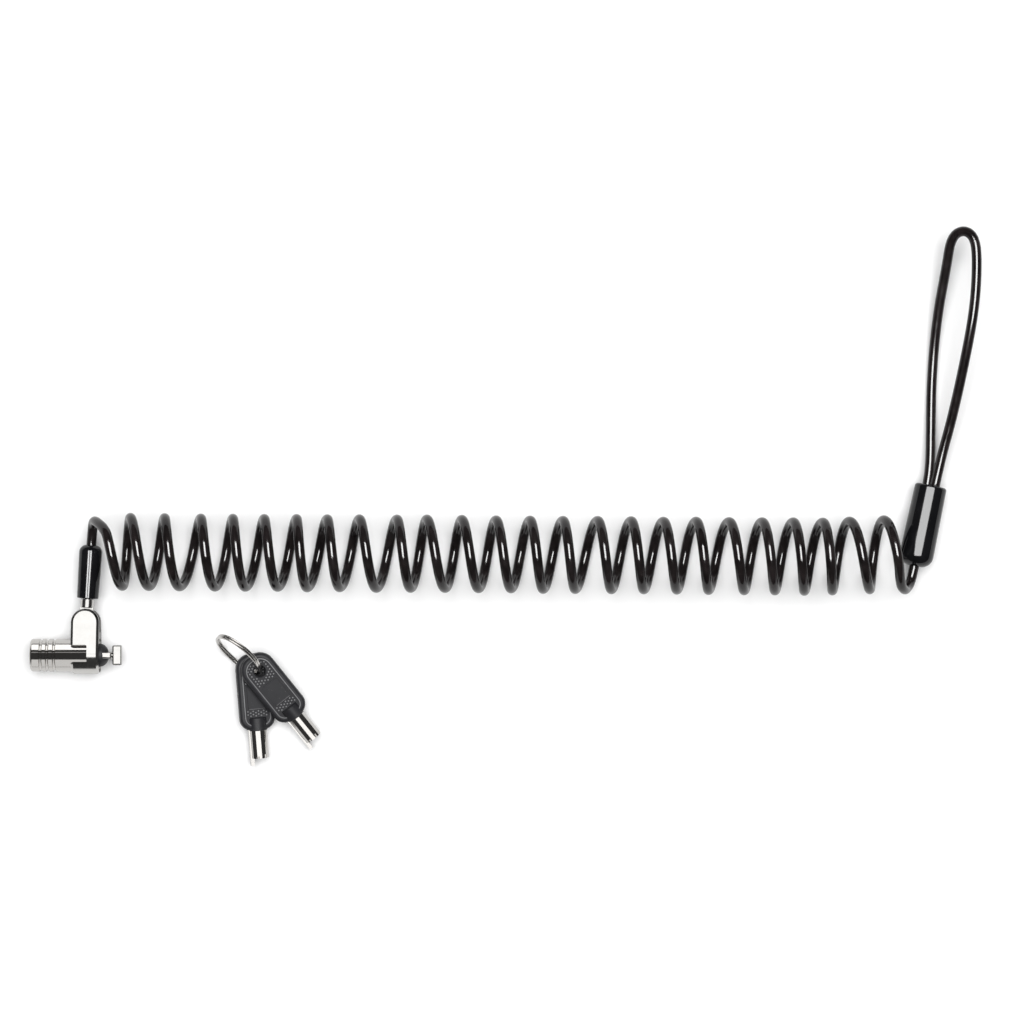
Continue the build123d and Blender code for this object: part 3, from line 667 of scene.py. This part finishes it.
def makeMaterial(name, look):
    material = bpy.data.materials.new(name)
    material.use_nodes = True
    tree = material.node_tree
    shader = tree.nodes["Principled BSDF"]
    coords = addNode(tree, "ShaderNodeTexCoord")
    place = coords.outputs["Object"]
    grain = useGroup(tree, surfaceGrain, place, Grain_Scale=look["grainScale"], Tone_Scale=look["toneScale"])
    scratches = useGroup(tree, hairlines, place, Stretch=look["stretch"], Amount=look["scratches"])
    dust = useGroup(tree, dustSpecks, place, Scale=look["dustScale"], Amount=look["dust"])
    colour = mixColours(tree, look["colour"], look["tone"], grain.outputs["Tone"])
    height = doMath(tree, "MULTIPLY", grain.outputs["Height"], look["grainShare"])
    scratchHeight = doMath(tree, "MULTIPLY", scratches.outputs["Height"], 1 - look["grainShare"])
    height = doMath(tree, "ADD", height, scratchHeight)
    rough = doMath(tree, "MULTIPLY_ADD", grain.outputs["Tone"], look["spread"], look["roughness"] - look["spread"] / 2)
    rough = doMath(tree, "MULTIPLY_ADD", scratches.outputs["Mask"], look["scratchRough"], rough)
    if "twist" in look:
        strands = useGroup(tree, strandTwist, coords.outputs["UV"], Lines_Per_Turn=look["linesPerTurn"],
                           Pitch=look["pitch"])
        clearness = remap(tree, grain.outputs["Tone"], 0.1, 0.9, 0.25, 1.0)
        shown = doMath(tree, "MULTIPLY", strands.outputs["Mask"], clearness)
        colour = mixColours(tree, colour, look["twist"], shown)
        height = doMath(tree, "MULTIPLY_ADD", strands.outputs["Height"], look["twistHeight"], height)
    # painted reflection: the attribute mixes in a lighter or darker colour, standing in for highlights or dark
    # reflections, and shifts the roughness
    if "paintedReflection" in look:
        paintedReflectionMask = addNode(tree, "ShaderNodeAttribute", attribute_name="paintedReflection")
        amount = remap(tree, paintedReflectionMask.outputs["Fac"], 0.15, 0.95)
        amount = doMath(tree, "MULTIPLY", amount, remap(tree, grain.outputs["Tone"], 0.0, 1.0, 0.7, 1.0))
        colour = mixColours(tree, colour, look["paintedReflection"], amount)
        rough = doMath(tree, "MULTIPLY_ADD", amount, -look["paintedReflectionPolish"], rough)
    colour = mixColours(tree, colour, look["dustColour"], dust.outputs["Mask"])
    rough = doMath(tree, "MULTIPLY_ADD", dust.outputs["Mask"], look["dustRough"], rough, clamp=True)
    bump = addNode(tree, "ShaderNodeBump", Strength=look["bump"], Distance=look["bumpDepth"] * mm)
    tree.links.new(height, bump.inputs["Height"])
    tree.links.new(colour, shader.inputs["Base Color"])
    tree.links.new(rough, shader.inputs["Roughness"])
    tree.links.new(bump.outputs["Normal"], shader.inputs["Normal"])
    shader.inputs["Metallic"].default_value = look["metallic"]
    return material


plainLook = {
    "colour": (0.55, 0.55, 0.56), "tone": (0.48, 0.48, 0.50), "metallic": 1.0, "roughness": 0.3, "spread": 0.08,
    "grainScale": 3000.0, "toneScale": 160.0, "grainShare": 0.5,
    "stretch": (20.0, 20.0, 1.0), "scratches": 0.4, "scratchRough": 0.12,
    "dust": 0.0, "dustScale": 900.0, "dustColour": (0.35, 0.34, 0.33), "dustRough": 0.4,
    "bump": 0.2, "bumpDepth": 0.01,
}
# slot, then the material's name and what differs from the plain look
looks = {
    "cable_jacket": ("glossyJacket", {
        "colour": (0.0013, 0.0010, 0.0010), "tone": (0.0026, 0.0017, 0.0018), "metallic": 0.0, "roughness": 0.12,
        "spread": 0.06, "grainShare": 0.8, "grainScale": 2600.0, "toneScale": 240.0, "scratches": 0.25, "dust": 0.05,
        "bump": 0.5, "bumpDepth": 0.012, "twist": (0.022, 0.018, 0.018), "twistHeight": 0.5, "linesPerTurn": 12.0,
        "pitch": 0.67}),
    "black_moulding": ("glossyMoulding", {
        "colour": (0.0022, 0.0022, 0.0026), "tone": (0.0040, 0.0040, 0.0046), "metallic": 0.0, "roughness": 0.10,
        "spread": 0.04, "grainShare": 0.85, "grainScale": 1500.0, "scratches": 0.3, "scratchRough": 0.2, "dust": 0.05,
        "bump": 0.12, "bumpDepth": 0.006, "stretch": (30.0, 1.0, 30.0)}),
    "plain_steel": ("plainSteel", {}),
    # painted dark reflection: the darker colour in this look goes on the arm's sides, in place of the dark
    # surroundings they mirror
    "satin_steel": ("satinSteel", {
        "colour": (0.72, 0.71, 0.69), "tone": (0.67, 0.66, 0.635), "roughness": 0.17, "spread": 0.05,
        "stretch": (24.0, 1.0, 24.0), "scratches": 0.5, "scratchRough": 0.15, "grainScale": 5000.0, "bump": 0.15,
        "bumpDepth": 0.004, "paintedReflection": (0.17, 0.165, 0.16), "paintedReflectionPolish": -0.12}),
    "wire_rope": ("wireRope", {"roughness": 0.35}),
    "aluminium": ("crimpedAluminium", {"colour": (0.7, 0.7, 0.7), "tone": (0.62, 0.62, 0.62), "roughness": 0.35}),
    "chrome": ("polishedChrome", {
        "colour": (0.71, 0.695, 0.67), "tone": (0.67, 0.65, 0.625), "roughness": 0.07, "spread": 0.03,
        "stretch": (24.0, 1.0, 1.0), "scratches": 0.35, "scratchRough": 0.14, "bump": 0.05, "bumpDepth": 0.003,
        "grainScale": 2200.0}),
    "brass": ("machinedBrass", {"colour": (0.62, 0.48, 0.25), "tone": (0.55, 0.42, 0.22)}),
    "dark_rubber": ("darkRubber", {
        "colour": (0.032, 0.032, 0.035), "tone": (0.020, 0.020, 0.022), "metallic": 0.0, "roughness": 0.52,
        "spread": 0.12, "grainShare": 0.9, "grainScale": 5000.0, "bump": 0.5, "bumpDepth": 0.03, "dust": 0.2}),
    # painted highlight: the lighter colour in this look goes on the tops of the key heads' dots and band, in place of
    # the highlights they catch
    "key_plastic": ("keyPlastic", {
        "colour": (0.017, 0.017, 0.020), "tone": (0.026, 0.026, 0.030), "metallic": 0.0, "roughness": 0.46,
        "spread": 0.10, "grainShare": 0.9, "grainScale": 3600.0, "bump": 0.6, "bumpDepth": 0.03, "dust": 0.12,
        "paintedReflection": (0.30, 0.30, 0.31), "paintedReflectionPolish": 0.12}),
}
materials = {slot: makeMaterial(name, {**plainLook, **look}) for slot, (name, look) in looks.items()}


def giveMaterial(piece, material):
    piece.data.materials.clear()
    piece.data.materials.append(material)


slotOf = {part["node"]: part["material_slot"] for part in frame["record"]["subparts"]}
for nodeName, piece in nodes.items():
    giveMaterial(piece, materials[slotOf[nodeName]])
for piece, slot in ([(cablePiece, "cable_jacket"), (sleevePiece, "black_moulding"),
                     (lockSleevePiece, "black_moulding"),
                     (pinPiece, "chrome"), (armPiece, "satin_steel"), (ringPiece, "chrome")]
                    + [(piece, "key_plastic") for piece in bandPieces + dotPieces]):
    giveMaterial(piece, materials[slot])
print("materials made")


# the floor is greyer to all but direct sight, so that the gloss pieces don't mirror a bright one
floorSet = {"size": 3.0, "seen": (0.92, 0.92, 0.92), "mirrored": (0.62, 0.62, 0.62), "roughness": 0.9,
            "specular": 0.1, "drop": 0.05}
deselectAll()
bpy.ops.mesh.primitive_plane_add(size=floorSet["size"], location=(0, 0, -floorSet["drop"] * mm))
floor = bpy.context.object
floor.name = "floor"
floorMaterial = bpy.data.materials.new("paleFloor")
floorMaterial.use_nodes = True
floorShader = floorMaterial.node_tree.nodes["Principled BSDF"]
tree = floorMaterial.node_tree
seen = addNode(tree, "ShaderNodeLightPath").outputs["Is Camera Ray"]
floorColour = mixColours(tree, floorSet["mirrored"], floorSet["seen"], seen)
tree.links.new(floorColour, floorShader.inputs["Base Color"])
floorShader.inputs["Roughness"].default_value = floorSet["roughness"]
floorShader.inputs["Specular IOR Level"].default_value = floorSet["specular"]
giveMaterial(floor, floorMaterial)


def areaLight(name, place, aim, width, height, radiance, receivers):
    data = bpy.data.lights.new(name, "AREA")
    data.shape = "RECTANGLE"
    data.size, data.size_y = width, height
    data.energy = radiance * math.pi * width * height
    light = bpy.data.objects.new(name, data)
    light.location = place
    light.rotation_euler = Vector(aim).to_track_quat("-Z", "Y").to_euler()
    light.visible_camera = False
    bpy.context.scene.collection.objects.link(light)
    group = bpy.data.collections.new(name + "Receivers")
    for piece in receivers:
        group.objects.link(piece)
    light.light_linking.receiver_collection = group
    return light


lights = {
    "height": 3.0, "depth": 2.4, "forward": 0.60,
    "metal": (3.2, 1.4), "matte": (3.2, 4.5), "cable": (1.8, 23.0), "sleeve": (3.2, 12.5),     # width, radiance
    "tubeSize": 3.6, "tubeForward": -0.3, "tubeRadiance": 1.4,
    "strips": [(-0.777, 0.744), (0.39, 0.731)],     # place along X and width
    "stripRadiance": 20.0, "stripDepth": 3.2, "stripForward": 0.2,
    "streak": (1.2, 0.3, 0.35),                     # place along Y, width, radiance
    "panelAway": 2.5, "panelWidth": 4.0,
    "brightPanel": (0.33, 2.98, 1.5), "greyPanel": (0.09, 4.5, 0.74),       # low edge, high edge, radiance
    "floorPlace": (0.1, 0.25, 2.0), "floorSize": 2.2, "floorRadiance": 4.8,
}
down = (0, 0, -1)
barrelPieces = [nodes["lock_barrel"], ringPiece]
mattePieces = bandPieces + dotPieces + [nodes[name] for name in ("key_a_head", "key_b_head", "rubber_nose")]
tubePieces = [nodes["key_a_tube"], nodes["key_b_tube"]]
apart = barrelPieces + mattePieces + tubePieces + [cablePiece, sleevePiece, lockSleevePiece]
metalPieces = [pinPiece, armPiece] + [piece for piece in nodes.values() if piece not in apart]
for name, receivers in (("metal", metalPieces), ("matte", mattePieces), ("cable", [cablePiece]),
                        ("sleeve", [sleevePiece])):
    width, radiance = lights[name]
    areaLight(name + "Softbox", (0, lights["forward"], lights["height"]), (0, -lights["forward"], -lights["height"]),
              width, lights["depth"], radiance, receivers)
areaLight("tubeSoftbox", (0, lights["tubeForward"], lights["height"]), down, lights["tubeSize"], lights["tubeSize"],
          lights["tubeRadiance"], tubePieces)
for index, (stripX, stripWidth) in enumerate(lights["strips"]):
    areaLight("sleeveStrip" + str(index), (stripX, lights["stripForward"], lights["height"]), down, stripWidth,
              lights["stripDepth"], lights["stripRadiance"], [lockSleevePiece])
streakY, streakWidth, streakRadiance = lights["streak"]
areaLight("barrelStreak", (0, streakY, lights["height"]), down, lights["panelWidth"], streakWidth, streakRadiance,
          barrelPieces)
for name, side in (("brightPanel", 1), ("greyPanel", -1)):
    low, high, radiance = lights[name]
    areaLight(name, (0, side * lights["panelAway"], (low + high) / 2), (0, -side, 0), lights["panelWidth"],
              high - low, radiance, barrelPieces)
areaLight("floorLight", lights["floorPlace"], [-a for a in lights["floorPlace"]], lights["floorSize"],
          lights["floorSize"], lights["floorRadiance"], [floor])

surroundings = {"glow": 0.04, "backdrop": 0.95}
world = bpy.data.worlds.new("surroundings")
bpy.context.scene.world = world
world.use_nodes = True
tree = world.node_tree
background = tree.nodes["Background"]
background.inputs["Color"].default_value = (1, 1, 1, 1)
seen = addNode(tree, "ShaderNodeLightPath").outputs["Is Camera Ray"]
strength = remap(tree, seen, 0.0, 1.0, surroundings["glow"], surroundings["backdrop"])
tree.links.new(strength, background.inputs["Strength"])
bpy.context.scene.view_settings.view_transform = "Standard"
bpy.context.scene.view_settings.look = "None"
print("lights set")
